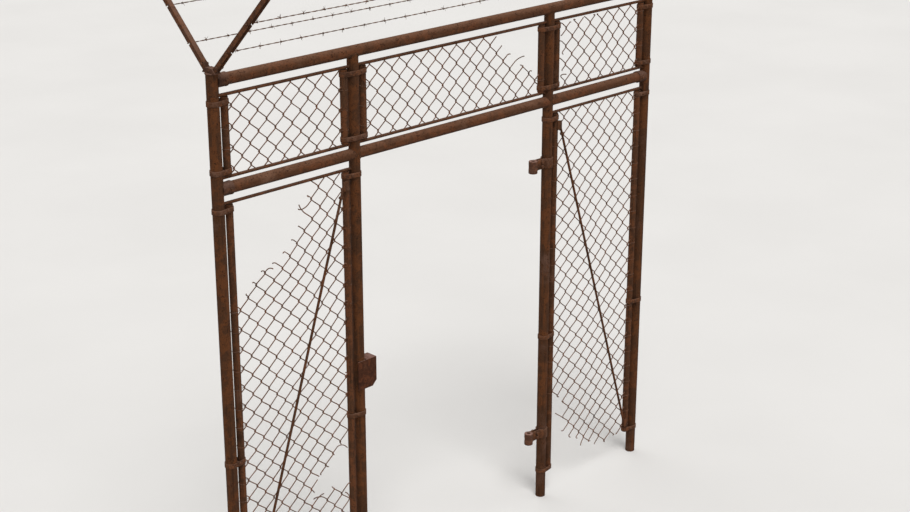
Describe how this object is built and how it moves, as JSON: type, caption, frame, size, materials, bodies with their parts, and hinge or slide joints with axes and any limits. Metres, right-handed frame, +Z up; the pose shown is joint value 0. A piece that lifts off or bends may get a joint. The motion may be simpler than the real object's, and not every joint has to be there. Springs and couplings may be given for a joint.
{
  "type": "chain-link gate",
  "caption": "Rusty pipe and chain-link walk-through gate frame with torn mesh panels, a head rail, barbed wire arms and hinge halves for a missing leaf.",
  "frame": {"origin": "centre of the left outer post's foot, at ground level, with the gate seen from the front", "axes": "+X along the gate from the left outer post to the right one, +Z up, -Y towards the viewer"},
  "size_m": [2.7922, 0.8266, 3.0056],
  "materials": {
    "pipe_steel": "rusted",
    "fittings": "rusted",
    "panel_steel": "rusted",
    "mesh_wire": "rusted",
    "barbed_wire": "rusted",
    "hinge_steel": "rusted"
  },
  "bodies": {
    "root": {"left_outer_post": "pipe_steel", "left_inner_post": "pipe_steel", "right_inner_post": "pipe_steel", "right_outer_post": "pipe_steel", "top_rail": "pipe_steel", "head_rail_left": "pipe_steel", "head_rail_middle": "pipe_steel", "head_rail_right": "pipe_steel", "rail_end_cups": "fittings", "arm_caps": "fittings", "left_front_arm": "fittings", "left_back_arm": "fittings", "right_front_arm": "fittings", "right_back_arm": "fittings", "left_outer_bands": "fittings", "left_inner_bands": "fittings", "right_inner_bands": "fittings", "right_outer_bands": "fittings", "lower_left_frame": "panel_steel", "lower_right_frame": "panel_steel", "upper_left_frame": "panel_steel", "upper_middle_frame": "panel_steel", "upper_right_frame": "panel_steel", "lower_left_truss_rod": "panel_steel", "lower_right_truss_rod": "panel_steel", "lower_left_mesh": "mesh_wire", "lower_right_mesh": "mesh_wire", "upper_left_mesh": "mesh_wire", "upper_middle_mesh": "mesh_wire", "upper_right_mesh": "mesh_wire", "front_barbed_wires": "barbed_wire", "back_barbed_wires": "barbed_wire", "hinge_clamps": "hinge_steel", "hinge_barrels": "hinge_steel", "latch_keeper": "hinge_steel"}
  },
  "joints": []
}
